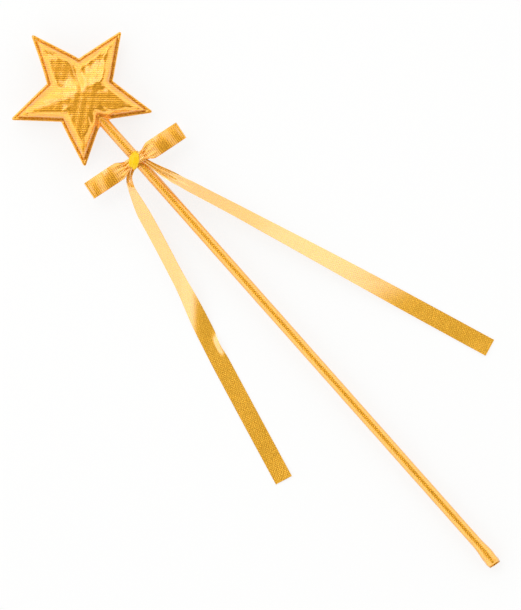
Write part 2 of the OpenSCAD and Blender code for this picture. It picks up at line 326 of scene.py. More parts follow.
# %% Gold weave shader
STAR_GOLD = ((0.7, 0.24, 0.008), (0.98, 0.41, 0.016), (1.0, 0.5, 0.03))
RIBBON_GOLD = ((0.74, 0.27, 0.006), (1.0, 0.45, 0.012), (1.0, 0.55, 0.035))
GOLD_STOPS = (0.1, 0.4, 0.6)
RIB_TURN = math.radians(41.57)
SWAY_SCALE = 260.0
THREAD_SWAY = 3.0
GRAIN_SCALE = 1500.0
GRAIN_DEPTH = 2.4
HEIGHT_SPREAD = 0.32
GROUND_ROUGHNESS = 0.42
THREAD_ROUGHNESS = 0.26
FILM_ROUGHNESS = 0.2


def along_cloth(tree):
    node = tree.nodes.new("ShaderNodeAttribute")
    node.attribute_name = "cloth_lay"
    return node.outputs["Vector"]


def across_picture(tree):
    place = tree.nodes.new("ShaderNodeTexCoord")
    turn = tree.nodes.new("ShaderNodeMapping")
    turn.inputs["Rotation"].default_value = (0.0, 0.0, RIB_TURN)
    tree.links.new(place.outputs["Object"], turn.inputs["Vector"])
    return turn.outputs["Vector"]


def gold_weave(name, golds, lay, rib, dot, depth, rib_share, film, metal):
    material, tree, shader = new_finish(name)
    cloth = lay(tree)
    split = tree.nodes.new("ShaderNodeSeparateXYZ")
    tree.links.new(cloth, split.inputs[0])
    wobble = shader_noise(tree, cloth, SWAY_SCALE, detail=2.0)
    sway = shader_math(tree, "MULTIPLY", wobble, THREAD_SWAY)

    def waves(axis, pitch):
        turns = shader_math(tree, "MULTIPLY", split.outputs[axis], 2.0 * math.pi / pitch)
        return shader_math(tree, "SINE", shader_math(tree, "ADD", turns, sway))

    ribs = waves("X", rib)
    dots = shader_math(tree, "MULTIPLY", waves("X", dot), waves("Y", dot))
    glint = shader_noise(tree, cloth, GRAIN_SCALE, detail=1.0)
    around_zero = shader_math(tree, "SUBTRACT", glint, 0.5)
    grain = shader_math(tree, "MULTIPLY", around_zero, GRAIN_DEPTH)
    height = shader_math(tree, "MULTIPLY", ribs, rib_share)
    height = shader_math(tree, "ADD", height, shader_math(tree, "MULTIPLY", dots, 1.0 - rib_share))
    height = shader_math(tree, "ADD", height, grain)
    height = shader_math(tree, "ADD", shader_math(tree, "MULTIPLY", height, HEIGHT_SPREAD), 0.5)
    colour = shader_ramp(tree, height, list(zip(GOLD_STOPS, golds)))
    tree.links.new(colour, shader.inputs["Base Color"])
    shader.inputs["Metallic"].default_value = metal
    shader.inputs["Coat Weight"].default_value = 1.0
    shader.inputs["Coat IOR"].default_value = film
    shader.inputs["Coat Roughness"].default_value = FILM_ROUGHNESS
    gloss = tree.nodes.new("ShaderNodeMapRange")
    tree.links.new(height, gloss.inputs["Value"])
    gloss.inputs["To Min"].default_value = GROUND_ROUGHNESS
    gloss.inputs["To Max"].default_value = THREAD_ROUGHNESS
    tree.links.new(gloss.outputs[0], shader.inputs["Roughness"])
    raise_bump(tree, shader, height, depth)
    return material


print("gold weave ready")

# %% [markdown]
# ## Four gold finishes
# The star is cut from one cloth, so its ribs run straight across the picture whatever its shape. The
# sleeve and the ribbons carry their own lengths as an attribute instead, so that the ribs follow them.
# The tails have the strongest film, because they are the palest, and the bow has the deepest ribs.

# %% Gold finishes
star_lame = gold_weave(
    "star_lame", STAR_GOLD, across_picture,
    rib=1.4 * MM, dot=1.7 * MM, depth=0.18 * MM, rib_share=0.7, film=1.65, metal=0.75,
)
sleeve_lame = gold_weave(
    "sleeve_lame", STAR_GOLD, along_cloth,
    rib=1.3 * MM, dot=1.8 * MM, depth=0.3 * MM, rib_share=0.35, film=1.8, metal=0.65,
)
ribbon_lame = gold_weave(
    "ribbon_lame", RIBBON_GOLD, along_cloth,
    rib=1.15 * MM, dot=1.9 * MM, depth=0.26 * MM, rib_share=0.35, film=2.4, metal=0.42,
)
bow_lame = gold_weave(
    "bow_lame", STAR_GOLD, along_cloth,
    rib=1.4 * MM, dot=1.9 * MM, depth=0.24 * MM, rib_share=0.75, film=1.9, metal=0.65,
)
print("gold finishes:", star_lame.name, sleeve_lame.name, ribbon_lame.name, bow_lame.name)

# %% Lengths on the cloth
def set_lay(piece, across_ribs, along_ribs):
    values = np.zeros((len(piece.data.vertices), 3), dtype=np.float32)
    values[:, 0] = across_ribs * MM
    values[:, 1] = along_ribs * MM
    lay = piece.data.attributes.new("cloth_lay", "FLOAT_VECTOR", "POINT")
    lay.data.foreach_set("vector", values.ravel())


print("cloth lengths are kept as an attribute")

# %% [markdown]
# ## The dowel
# A plain wooden dowel stiffens the stick. It is hidden by the sleeve, so the CAD piece stays as it
# is and only takes a wood finish: long grain along X, with darker growth lines.

# %% Dowel wood
WOOD_TONES = [(0.3, (0.55, 0.36, 0.18)), (0.7, (0.78, 0.59, 0.36))]


def dowel_wood():
    material, tree, shader = new_finish("dowel_wood")
    place = tree.nodes.new("ShaderNodeTexCoord")
    stretch = tree.nodes.new("ShaderNodeMapping")
    stretch.inputs["Scale"].default_value = (0.05, 1.0, 1.0)
    tree.links.new(place.outputs["Object"], stretch.inputs["Vector"])
    grain = shader_noise(tree, stretch.outputs["Vector"], scale=900.0, detail=4.0)
    tree.links.new(shader_ramp(tree, grain, WOOD_TONES), shader.inputs["Base Color"])
    shader.inputs["Roughness"].default_value = 0.6
    raise_bump(tree, shader, grain, 0.05 * MM)
    return material


dowel = frame["nodes"]["wand_rod"]
dowel.data.materials.clear()
dowel.data.materials.append(dowel_wood())
print("dowel finished")

# %% [markdown]
# ## The sleeve
# A strip of the same cloth is wrapped round the dowel, lapped along the back and turned in at the
# butt end, where the extra layers make it a little thicker. A cylinder with open ends is added at
# its size, its long edges are subdivided into rings, the butt end is extruded inwards, and the
# points are then moved: out for the hem, out along the back for the lap, and a hair for wrinkles.

# %% Sleeve
SLEEVE_R = 3.6
STICK_END = 421.79
NOTCH_X = 391.8
HEM_LEN = 8.0
HEM_TAPER = 10.0
CLOTH = 0.5
SLEEVE_SIDES = 48
SLEEVE_RINGS = 300
TUCK_SHARES = (0.86, 0.6, 0.3)

select_nothing()
bpy.ops.mesh.primitive_cylinder_add(
    vertices=SLEEVE_SIDES, radius=SLEEVE_R * MM, depth=STICK_END * MM, end_fill_type="NOTHING",
    location=(STICK_END / 2 * MM, 0.0, 0.0), rotation=(0.0, math.radians(90.0), 0.0),
)
sleeve = name_new("rod_sleeve_cloth")
bpy.ops.object.transform_apply(location=True, rotation=True, scale=True)
select_points(sleeve, np.zeros(len(sleeve.data.vertices)))
ends = points_of(sleeve)[:, 0]
for edge in sleeve.data.edges:
    edge.select = bool(abs(ends[edge.vertices[0]] - ends[edge.vertices[1]]) > STICK_END * MM / 2)
bpy.context.tool_settings.mesh_select_mode = (False, True, False)
bpy.ops.object.mode_set(mode="EDIT")
bpy.ops.mesh.subdivide(number_cuts=SLEEVE_RINGS)
bpy.ops.object.mode_set(mode="OBJECT")
bpy.context.tool_settings.mesh_select_mode = (True, False, False)
select_points(sleeve, points_of(sleeve)[:, 0] < 1e-6)
bpy.ops.object.mode_set(mode="EDIT")
bpy.ops.mesh.select_mode(type="VERT")
for shrink in TUCK_SHARES:
    bpy.ops.mesh.extrude_region_move()
    bpy.ops.transform.resize(value=(1.0, shrink, shrink), center_override=(0.0, 0.0, 0.0))
bpy.ops.mesh.merge(type="CENTER")
bpy.ops.object.mode_set(mode="OBJECT")
print("sleeve points:", len(sleeve.data.vertices))

# %% [markdown]
# ## Hem and lap
# The rings are first crowded towards the butt end, where the small folds are. The hem flares out over
# its extra layers and puckers, the butt's rim is rounded by a small lip, and the end is cut a little
# aslant. The lap along the back is one cloth thick, and stops short of the hem and of the star.

# %% Sleeve hem and lap
LAP_HALF = 2.3
LAP_EDGE = 0.9
LAP_FROM = 16.0
SLEEVE_T = 0.4
WRINKLE = 0.035
PUCKER = 0.16
HEM_CREASE = 0.16
BUTT_SLANT = 0.16
BUTT_SHIFT = 0.7
LIP = 0.75

sleeve_co = points_of(sleeve) / MM
along = sleeve_co[:, 0]
round_it = np.arctan2(sleeve_co[:, 1], sleeve_co[:, 2])
radius = np.hypot(sleeve_co[:, 1], sleeve_co[:, 2])
wall = radius > SLEEVE_R * 0.95
even = np.sort(np.unique(np.round(along[wall], 5)))
spread_x = 0.35 * even + 0.65 * STICK_END * (even / STICK_END) ** 1.25
along = np.where(wall, np.interp(along, even, spread_x), along)
hem = BUTT_R - SLEEVE_R
flare = hem * (1.0 - ramp((along - HEM_LEN) / HEM_TAPER))
flare = flare + 0.12 * np.sin(along * 0.9) * ramp(1 - along / 22.0)
from_lap = np.abs(np.abs(round_it) - math.pi) * SLEEVE_R
lap_run = ramp((along - LAP_FROM) / 6.0) * ramp((NOTCH_X - 4.0 - along) / 4.0)
lap = CLOTH * ramp((LAP_HALF - from_lap) / LAP_EDGE) * lap_run
wrinkle = WRINKLE * np.sin(along * 0.21 + 2.0 * round_it) * np.sin(along * 0.083 + round_it)
pucker = PUCKER * ramp(1 - along / 16.0) * np.sin(7.0 * round_it + 0.4 * along)
fold_line = -HEM_CREASE * np.exp(-((along - HEM_LEN * 0.82) / 0.45) ** 2)
grow = np.where(wall, flare + lap + wrinkle + pucker + fold_line, 0.0)
tuck = np.where(wall, 0.0, radius / SLEEVE_R * (hem + pucker))
scale = (radius + grow + tuck) / np.maximum(radius, 1e-6)
slant = BUTT_SLANT * sleeve_co[:, 1] * ramp(1 - along / 14.0)
inward = np.where(wall, 0.0, 0.7 * (1.0 - radius / SLEEVE_R))
lip = np.where(wall, LIP * ramp(1 - along / 1.8) ** 2, 0.0)
shaped = np.stack([
    np.maximum(along + slant + inward, -0.8),
    sleeve_co[:, 1] * (scale - lip / BUTT_R) + BUTT_SHIFT * ramp(1 - along / 13.0),
    sleeve_co[:, 2] * (scale - lip / BUTT_R),
], axis=1)
move_points(sleeve, shaped * MM)
set_lay(sleeve, along, round_it * SLEEVE_R)
turn_outwards(sleeve)
finish_with(sleeve, "SOLIDIFY", thickness=SLEEVE_T * MM, offset=-1.0)
bpy.ops.object.shade_smooth()
sleeve.data.materials.append(sleeve_lame)
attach(sleeve, "wand")
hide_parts("rod_sleeve")
print("sleeve reaches", np.round(points_of(sleeve).max(axis=0) / MM, 1))

# %% [markdown]
# ## The star's outline
# Two star-shaped cloths are sewn together close to their edge, which leaves a flat border outside
# the stitches and a puffed middle. A ten-point circle becomes a star when every second point is
# drawn in. All ten edges then lie at the same distance from the centre, so a smaller copy of the
# outline is an even inset of it, and the cloth grows inwards by extruding the edge and scaling it.

# %% Star outline and rings
TIP_R = 49.4
NOTCH_R = 22.8
HALF_ARM = math.radians(36.0)
EDGE_TURN = math.atan((TIP_R / NOTCH_R - math.cos(HALF_ARM)) / math.sin(HALF_ARM))
EDGE_REACH = TIP_R * math.cos(EDGE_TURN)
STAR_LEAN = math.radians(-3.0)
TIP_ROUND = 0.9
BORDER = 2.1
EDGE_CUTS = 15
INSETS = [0.4, 0.8, 1.2, 1.5, 1.75, 2.0, 2.35, 2.85, 3.5, 4.4, 5.4, 6.5, 7.7, 9.0, 10.3, 11.6, 12.9, 14.2,
          15.4, 16.6, 17.7, 18.6]

select_nothing()
bpy.ops.mesh.primitive_circle_add(vertices=10, radius=TIP_R * MM, fill_type="NOTHING")
star = name_new("star_pillow")
bpy.ops.object.mode_set(mode="EDIT")
bpy.ops.transform.rotate(value=math.radians(90.0), orient_axis="Z", center_override=(0.0, 0.0, 0.0))
bpy.ops.object.mode_set(mode="OBJECT")
corner = points_of(star)
turn = np.round(np.degrees(np.arctan2(corner[:, 1], corner[:, 0])) / 36.0).astype(int)
select_points(star, turn % 2 == 1)
bpy.ops.object.mode_set(mode="EDIT")
bpy.ops.mesh.select_mode(type="VERT")
inner = NOTCH_R / TIP_R
bpy.ops.transform.resize(value=(inner, inner, 1.0), center_override=(0.0, 0.0, 0.0))
bpy.ops.mesh.select_all(action="SELECT")
bpy.ops.mesh.subdivide(number_cuts=EDGE_CUTS)
reached = 1.0
for inset in INSETS:
    share = 1.0 - inset / EDGE_REACH
    bpy.ops.mesh.extrude_region_move()
    bpy.ops.transform.resize(value=(share / reached, share / reached, 1.0), center_override=(0.0, 0.0, 0.0))
    reached = share
bpy.ops.mesh.extrude_region_move()
bpy.ops.mesh.merge(type="CENTER")
bpy.ops.object.mode_set(mode="OBJECT")
print("star cloth points:", len(star.data.vertices))

# %% [markdown]
# ## The star's padding
# The height over each point of the plan comes from its distance to the seam: steep at the stitches
# and nearly level over the arms. Wadding never spreads evenly, so the far half of the star lies a
# little lower, with a soft slope between. The slope starts further out on the arm at +Y, and the end
# of the arm at -Y lies level. Where the stick goes in, both cloths arch over it.

# %% Padding heights
RIDGE_ROUND = 5.5
FRONT_RISE = 8.5
BACK_RISE = 8.5
FRONT_FULL = 4.6
BACK_FULL = 12.0
PUFF_POWER = 0.26
SEAM_INSET = 1.9
TUNNEL_R = 4.45


def star_polar(plan):
    angle = np.degrees(np.arctan2(plan[:, 1], plan[:, 0]))
    near_tip = np.radians(np.abs((angle + 36.0) % 72.0 - 36.0))
    return np.hypot(plan[:, 0], plan[:, 1]), near_tip


def edge_inset(plan):
    r, f = star_polar(plan)
    return EDGE_REACH - r * np.cos(f - EDGE_TURN)


def seam_distance(plan):
    r, f = star_polar(plan)
    reach = EDGE_REACH - BORDER
    a = reach - r * np.cos(f - EDGE_TURN)
    b = reach - r * np.cos(f + EDGE_TURN)
    near = np.minimum(a, b)
    k = np.minimum(RIDGE_ROUND, 0.4 + 1.2 * np.maximum(near, 0.0))
    return near - np.maximum(k - np.abs(a - b), 0.0) ** 2 / (4.0 * k)


def puff(distance, full):
    u = np.clip(distance / full, 0.0, 1.0)
    return (1.0 - (1.0 - u) ** 2) ** PUFF_POWER


def arch(plan, r):
    a = np.abs(plan[:, 1]) / r
    roof = np.where(a < 0.7071, np.sqrt(np.maximum(1.0 - a * a, 0.0)), np.maximum(1.4142 - a, 0.0))
    return r * roof * ramp((-plan[:, 0] - 4.0) / 8.0)


def soft_max(a, b, k):
    return np.maximum(a, b) + np.maximum(k - np.abs(a - b), 0.0) ** 2 / (4.0 * k)


def cloth_height(plan, rise, full):
    inset = edge_inset(plan)
    border = CLOTH + 0.1 * np.sin(plan[:, 0] * 0.9) * np.sin(plan[:, 1] * 0.8)
    border = border + 0.3 * np.maximum(1.0 - ((inset - 0.9) / 0.9) ** 2, 0.0)
    seam = -0.1 * np.exp(-((inset - SEAM_INSET) / 0.3) ** 2)
    body = border + seam + rise * puff(seam_distance(plan), full)
    over_stick = arch(plan, TUNNEL_R)
    return np.where(over_stick > 0.0, soft_max(body, over_stick, 1.2), body)


print("padding rises", FRONT_RISE, "mm in front and", BACK_RISE, "mm behind")

# %% Slack in the far half
SLACK_DROP = 2.5
SLACK_RUN = 13.5
SLACK_FULL = 6.0
ARM_DROP = 2.0


def slack_drop(plan):
    x, y = plan[:, 0], plan[:, 1]
    towards_far_tip = x * 0.993 - y * 0.13 - 0.22 * np.maximum(y - 8.0, 0.0)
    drop = SLACK_DROP * ramp((towards_far_tip + 0.5) / SLACK_RUN)
    return mix(drop, ARM_DROP, ramp((-y - 20.0) / 12.0) * ramp(x / 6.0))


plan = points_of(star)[:, :2] / MM
front = cloth_height(plan, FRONT_RISE, FRONT_FULL)
front = front - slack_drop(plan) * puff(seam_distance(plan), SLACK_FULL)
back = cloth_height(plan, BACK_RISE, BACK_FULL)
print(f"front stands {front.max():.1f} mm, back {back.max():.1f} mm")

# %% [markdown]
# ## Two cloths, sewn
# The plan is copied once. One copy is raised to the front heights and the other lowered to the back
# heights, and their rims are bridged, so that the star is one closed skin.

# %% Front and back cloth
RIM_REACH = 0.02

pick(star)
bpy.ops.object.duplicate()
back_cloth = name_new("back_cloth")
move_points(star, np.column_stack([plan, front]) * MM)
move_points(back_cloth, np.column_stack([plan, -back]) * MM)
select_nothing()
back_cloth.select_set(True)
star.select_set(True)
bpy.context.view_layer.objects.active = star
bpy.ops.object.join()
rim = edge_inset(points_of(star)[:, :2] / MM) < RIM_REACH
select_points(star, rim)
bpy.ops.object.mode_set(mode="EDIT")
bpy.ops.mesh.select_mode(type="VERT")
bpy.ops.mesh.bridge_edge_loops()
bpy.ops.mesh.select_all(action="SELECT")
bpy.ops.mesh.normals_make_consistent(inside=False)
bpy.ops.object.mode_set(mode="OBJECT")
print("pillow faces:", len(star.data.polygons))

# %% [markdown]
# ## Stuffing the star
# Cloth simulation swells the two sheets as wadding does. The border and the arch over the stick are
# held, as the stitches hold them, and a little pressure fills the rest. Cloth solvers like things
# the size of a person, so a twentyfold copy is simulated, and the movement is capped and brought
# back at true size. It runs with no gravity, so it comes out the same each time.

# %% Cloth simulation
SIM_SCALE = 20.0
SIM_FRAMES = 20
SIM_CAP = 0.6
SEWN_INSET = 2.5


def stuff(piece, held):
    start = points_of(piece)
    move_points(piece, start * SIM_SCALE)
    pick(piece)
    group = piece.vertex_groups.new(name="sewn")
    group.add([int(i) for i in np.flatnonzero(held)], 1.0, "REPLACE")
    cloth = piece.modifiers.new("Stuffing", "CLOTH")
    settings = cloth.settings
    settings.quality = 6
    settings.mass = 0.3
    settings.tension_stiffness = 18.0
    settings.compression_stiffness = 18.0
    settings.shear_stiffness = 6.0
    settings.bending_stiffness = 0.35
    settings.use_pressure = True
    settings.uniform_pressure_force = 3.0
    settings.shrink_min = -0.012
    settings.effector_weights.gravity = 0.0
    settings.vertex_group_mass = group.name
    cloth.point_cache.frame_start = 1
    cloth.point_cache.frame_end = SIM_FRAMES
    for step in range(1, SIM_FRAMES + 1):
        bpy.context.scene.frame_set(step)
    bpy.ops.object.modifier_apply(modifier=cloth.name)
    bpy.context.scene.frame_set(1)
    moved = points_of(piece) / SIM_SCALE - start
    reach = np.linalg.norm(moved, axis=1)
    keep = np.minimum(1.0, SIM_CAP * MM / np.maximum(reach, 1e-9))
    move_points(piece, start + moved * keep[:, None])
    piece.vertex_groups.clear()
    return reach.max() / MM


plan = points_of(star)[:, :2] / MM
by_stick = (plan[:, 0] < -17.0) & (np.abs(plan[:, 1]) < 6.0)
sewn = (edge_inset(plan) < SEWN_INSET) | by_stick
print(f"stuffing moved the cloth by up to {stuff(star, sewn):.2f} mm before the cap")

# %% [markdown]
# ## Creases
# Sewn cloth bunches at each inner corner of the star, and the photograph shows creases that run
# from these notches to the middle, with one long bright fold from the upper notch. Each crease is a
# soft ridge or furrow along a line, moved by hand as a sculptor's brush would. A row of the list
# gives its start and end on the plan, its width and its height.

# %% Creases at the notches
CREASES = [
    ((21.5, -9.0), (-3.0, -1.5), 1.9, -0.8),
    ((17.5, -13.0), (3.0, -6.5), 1.6, 0.4),
    ((19.5, 10.5), (8.0, 6.5), 1.5, 0.35),
    ((15.5, 14.0), (6.0, 3.0), 1.6, -0.4),
    ((-4.5, 20.0), (-2.0, 8.0), 1.5, 0.3),
    ((-8.5, 19.0), (-7.0, 9.0), 1.4, -0.2),
    ((-4.5, -20.5), (0.0, -9.0), 1.5, 0.4),
    ((-9.0, -19.5), (-6.0, -8.0), 1.6, -0.4),
]
CREASE_INSET = 2.4
BACK_SHARE = 0.6


def crease(plan, start, end, width, height):
    line = np.array(end) - np.array(start)
    length = np.linalg.norm(line)
    line = line / length
    off = plan - np.array(start)
    t = off @ line / length
    aside = off @ np.array([-line[1], line[0]])
    fade = ramp(t / 0.18 + 0.3) * ramp((1.12 - t) / 0.7)
    return height * fade * np.exp(-(aside / (width * (0.6 + 0.7 * np.clip(t, 0, 1)))) ** 2)


places = points_of(star) / MM
plan = places[:, :2]
lift = np.zeros(len(plan))
for start, end, width, height in CREASES:
    lift = lift + crease(plan, start, end, width, height)
lift = lift * ramp((edge_inset(plan) - CREASE_INSET) / 2.0)
on_front = places[:, 2] > 0.0
places[:, 2] = places[:, 2] + np.where(on_front, lift, -BACK_SHARE * lift)
places[:, 2] = np.maximum(places[:, 2], -STAR_LOFT + 0.02)
print(f"creases from {lift.min():.2f} to {lift.max():.2f} mm")

# %% [markdown]
# ## Tips and lean
# Sharp tips can't be turned right side out, so each one is rounded a little. The sewn star isn't
# quite even: its tips are drawn by up to two millimetres, the cloth forms a lip where the stick goes
# in, and the whole star leans by three degrees on the stick.

# %% Tips and lean
TIP_PULL = [(1.5, 1.3), (-0.3, 0.3), (-0.5, -0.6), (-0.2, -0.9), (0.0, 0.0)]
LIP_REACH = 2.0


def nearest_arm(plan):
    angle = np.arctan2(plan[:, 1], plan[:, 0])
    arm = np.round(angle / (2.0 * HALF_ARM))
    axis = arm * 2.0 * HALF_ARM
    r = np.hypot(plan[:, 0], plan[:, 1])
    return arm.astype(int) % 5, axis, r * np.cos(angle - axis), r * np.sin(angle - axis)


def blunt_tips(plan):
    _, axis, t, w = nearest_arm(plan)
    half = math.pi / 2.0 - EDGE_TURN
    middle = TIP_R - TIP_ROUND / math.sin(half)
    first = middle + TIP_ROUND * math.sin(half)
    share = np.clip((t - first) / (TIP_R - first), 0.0, 1.0)
    t_new = np.where(t > first, first + share * (middle + TIP_ROUND - first), t)
    old_edge = np.maximum((TIP_R - t) * math.tan(half), 1e-6)
    new_edge = np.sqrt(np.maximum(TIP_ROUND ** 2 - (t_new - middle) ** 2, 0.0))
    w_new = np.where(t > first, w * new_edge / old_edge, w)
    w_new = np.where(share > 0.999, 0.0, w_new)
    return np.column_stack([
        t_new * np.cos(axis) - w_new * np.sin(axis),
        t_new * np.sin(axis) + w_new * np.cos(axis),
    ])


def lip_over_stick(plan):
    near = np.clip(1.0 - (plan[:, 1] / 4.6) ** 2, 0.0, 1.0) ** 2
    return LIP_REACH * near * ramp((-plan[:, 0] - 13.0) / 9.0)


def pull_tips(plan):
    arm, _, t, _ = nearest_arm(plan)
    share = np.clip((t - NOTCH_R) / (TIP_R - NOTCH_R), 0.0, 1.0) ** 1.5
    return plan + np.array(TIP_PULL)[arm] * share[:, None]


def lean_star(plan):
    c = math.cos(STAR_LEAN)
    s = math.sin(STAR_LEAN)
    out = plan[:, 0] + NOTCH_R
    return np.column_stack([out * c - plan[:, 1] * s + NOTCH_X, out * s + plan[:, 1] * c])


places[:, :2] = blunt_tips(plan)
places[:, 0] = places[:, 0] + lip_over_stick(places[:, :2])
places[:, :2] = lean_star(pull_tips(places[:, :2]))
move_points(star, places * MM)
print(f"far tip at X {places[:, 0].max():.1f} mm")

# %% Finish the star
pick(star)
bpy.ops.object.mode_set(mode="EDIT")
bpy.ops.mesh.select_all(action="SELECT")
bpy.ops.mesh.subdivide(number_cuts=1, smoothness=0.9)
bpy.ops.object.mode_set(mode="OBJECT")
places = points_of(star)
places[:, 2] = np.maximum(places[:, 2], (-STAR_LOFT + 0.05) * MM)
move_points(star, places)
bpy.ops.object.shade_smooth()
star.data.materials.append(star_lame)
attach(star, "wand")
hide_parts("star_front_cover", "star_back_cover", "star_stuffing")
print("star faces:", len(star.data.polygons))

# %% [markdown]
# ## Top stitching
# A row of short stitches holds the two cloths together round the whole star, front and back. One
# stitch is a small stretched ball with its ends pressed down into the cloth. An Array modifier
# repeats it along each of the ten straight edges, and only the place where the stick goes in is left
# free. The rows are joined, laid on the cloth and copied to the back.

# %% Stitches
STITCH_LEN = 2.1
STITCH_STEP = 2.6
STITCH_INSET = 1.75
STITCH_HALVES = (STITCH_LEN / 2, 0.27, 0.24)
STITCH_SAG = 0.22
STITCH_LIFT = 0.12
THREAD_TONES = [(0.2, (0.72, 0.37, 0.03)), (0.8, (1.0, 0.62, 0.1))]


def thread_finish():
    material, tree, shader = new_finish("dull_gold_thread")
    place = tree.nodes.new("ShaderNodeTexCoord")
    twist = tree.nodes.new("ShaderNodeTexWave")
    twist.bands_direction = "DIAGONAL"
    twist.inputs["Scale"].default_value = 900.0
    tree.links.new(place.outputs["Object"], twist.inputs["Vector"])
    colour = shader_ramp(tree, twist.outputs["Fac"], THREAD_TONES)
    tree.links.new(colour, shader.inputs["Base Color"])
    shader.inputs["Metallic"].default_value = 0.4
    shader.inputs["Roughness"].default_value = 0.5
    raise_bump(tree, shader, twist.outputs["Fac"], 0.06 * MM)
    return material


select_nothing()
bpy.ops.mesh.primitive_uv_sphere_add(segments=8, ring_count=6, radius=1.0 * MM)
stitch = name_new("one_stitch")
bpy.ops.object.mode_set(mode="EDIT")
bpy.ops.transform.rotate(value=math.radians(90.0), orient_axis="Y", center_override=(0.0, 0.0, 0.0))
bpy.ops.transform.resize(value=STITCH_HALVES, center_override=(0.0, 0.0, 0.0))
bpy.ops.object.mode_set(mode="OBJECT")
bead = points_of(stitch) / MM
bead[:, 2] = bead[:, 2] - STITCH_SAG * (bead[:, 0] / (STITCH_LEN / 2)) ** 2
move_points(stitch, bead * MM)
print("one stitch has", len(stitch.data.polygons), "faces")

# %% Rows of stitches
AT_TIP = 1
BY_STICK = 2
shrink = 1.0 - STITCH_INSET / EDGE_REACH
tip = Vector((TIP_R * shrink, 0.0, 0.0)) * MM
notch = Vector((math.cos(HALF_ARM), math.sin(HALF_ARM), 0.0)) * NOTCH_R * shrink * MM
edge_line = notch - tip
per_edge = int(edge_line.length / MM / STITCH_STEP)
step = edge_line.length / per_edge


def stitch_row(start, way, count):
    pick(stitch)
    bpy.ops.object.duplicate()
    row = name_new("stitch_row")
    finish_with(row, "ARRAY", count=count, use_relative_offset=False, use_constant_offset=True,
                constant_offset_displace=(step, 0.0, 0.0))
    row.location = start + way * step * (AT_TIP + 0.5)
    row.rotation_euler = (0.0, 0.0, math.atan2(way.y, way.x))
    bpy.ops.object.transform_apply(location=True, rotation=True, scale=True)
    return row


rows = []
for k in range(5):
    arm = Matrix.Rotation(2.0 * HALF_ARM * k, 3, "Z")
    for mirror in (1.0, -1.0):
        start = arm @ tip
        end = arm @ Vector((notch.x, notch.y * mirror, 0.0))
        meets_stick = end.x < 0.0 and abs(end.y) < 1.0 * MM
        count = per_edge - AT_TIP - BY_STICK * meets_stick
        rows.append(stitch_row(start, (end - start).normalized(), count))
select_nothing()
for row in rows:
    row.select_set(True)
bpy.context.view_layer.objects.active = rows[0]
bpy.ops.object.join()
stitching = name_new("star_top_stitching")
bpy.data.objects.remove(stitch)
print("stitches on the front:", (per_edge - AT_TIP) * 10 - 2 * BY_STICK)

# %% Stitches on both sides
laid = points_of(stitching) / MM
laid[:, 2] = laid[:, 2] + cloth_height(laid[:, :2], 0.0, BACK_FULL) + STITCH_LIFT
move_points(stitching, laid * MM)
pick(stitching)
bpy.ops.object.mode_set(mode="EDIT")
bpy.ops.mesh.select_all(action="SELECT")
bpy.ops.mesh.duplicate()
bpy.ops.transform.resize(value=(1.0, 1.0, -1.0), center_override=(0.0, 0.0, 0.0))
bpy.ops.mesh.select_all(action="SELECT")
bpy.ops.mesh.normals_make_consistent(inside=False)
bpy.ops.object.mode_set(mode="OBJECT")
laid = points_of(stitching) / MM
laid[:, :2] = lean_star(pull_tips(laid[:, :2]))
move_points(stitching, laid * MM)
pick(stitching)
bpy.ops.object.shade_smooth()
stitching.data.materials.append(thread_finish())
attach(stitching, "wand")
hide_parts("star_stitching")
print("stitching faces:", len(stitching.data.polygons))

# %% [markdown]
# ## A strip of ribbon
# Every ribbon here starts as a flat grid, one direction along the ribbon and the other across it,
# and each point is then carried to its place on the curved ribbon. The two lengths are kept as an
# attribute, so that the ribs of the weave follow the ribbon. Solidify gives it its thickness.

# %% Ribbon strip helper
RIBBON_T = 0.3


def ribbon_strip(name, steps_along, steps_across, carry):
    select_nothing()
    bpy.ops.mesh.primitive_grid_add(x_subdivisions=steps_along, y_subdivisions=steps_across, size=2.0)
    strip = name_new(name)
    grid = points_of(strip)
    places, along, across = carry((grid[:, 0] + 1.0) / 2.0, grid[:, 1] / 2.0)
    move_points(strip, places * MM)
    set_lay(strip, along, across)
    return strip


def thicken(strip, thickness):
    finish_with(strip, "SOLIDIFY", thickness=thickness * MM, offset=0.0)
    bpy.ops.object.shade_smooth_by_angle(angle=math.radians(50.0))


print("ribbon helper ready")

# %% [markdown]
# ## Where the bow sits
# The bow is tied a little to one side of the stick's axis and is turned by eight degrees on it. Its
# loops and its gathered middle are made in their own frame and then set there.

# %% Bow frame
KNOT_X = 357.0
KNOT_Y = 1.35
BOW_TURN = math.radians(8.0)


def on_bow(places):
    c = math.cos(BOW_TURN)
    s = math.sin(BOW_TURN)
    return np.column_stack([
        KNOT_X + places[:, 0] * c + places[:, 1] * s,
        KNOT_Y - places[:, 0] * s + places[:, 1] * c,
        places[:, 2],
    ])


print(f"knot at {KNOT_X} mm along the stick")

# %% [markdown]
# ## The bow's loops
# Each loop leaves the knot along the top, turns round at its far end and comes back underneath. It
# is pleated small where the tie holds it and opens to its full width. The route is the CAD loop's,
# with more and deeper pleats that fan out from the knot. A low crest and a dent run across the top,
# and give the pale and dark bands that the photograph shows.

# %% Loop route
RIBBON_W = 12.0
LOOP_LEN = 36.5
LOOP_START = 6.3
LOOP_MID_Z = 5.9
LOOP_BELLY = 3.3
LOOP_LAYERS = 2.2
GATHER_W = 6.8


def squarish(t, power):
    return np.sign(t) * np.abs(t) ** power


def loop_route(u):
    out = LOOP_START + (LOOP_LEN - RIBBON_T / 2 - LOOP_START) * (1.0 - np.cos(2 * np.pi * u)) / 2.0
    open_up = mix(0.2, 1.0, ramp((out - LOOP_START) / 13.0))
    up = LOOP_MID_Z + LOOP_BELLY * open_up * squarish(np.sin(2 * np.pi * u), 0.55)
    return out, up + LOOP_LAYERS / 2.0 * np.cos(np.pi * u)


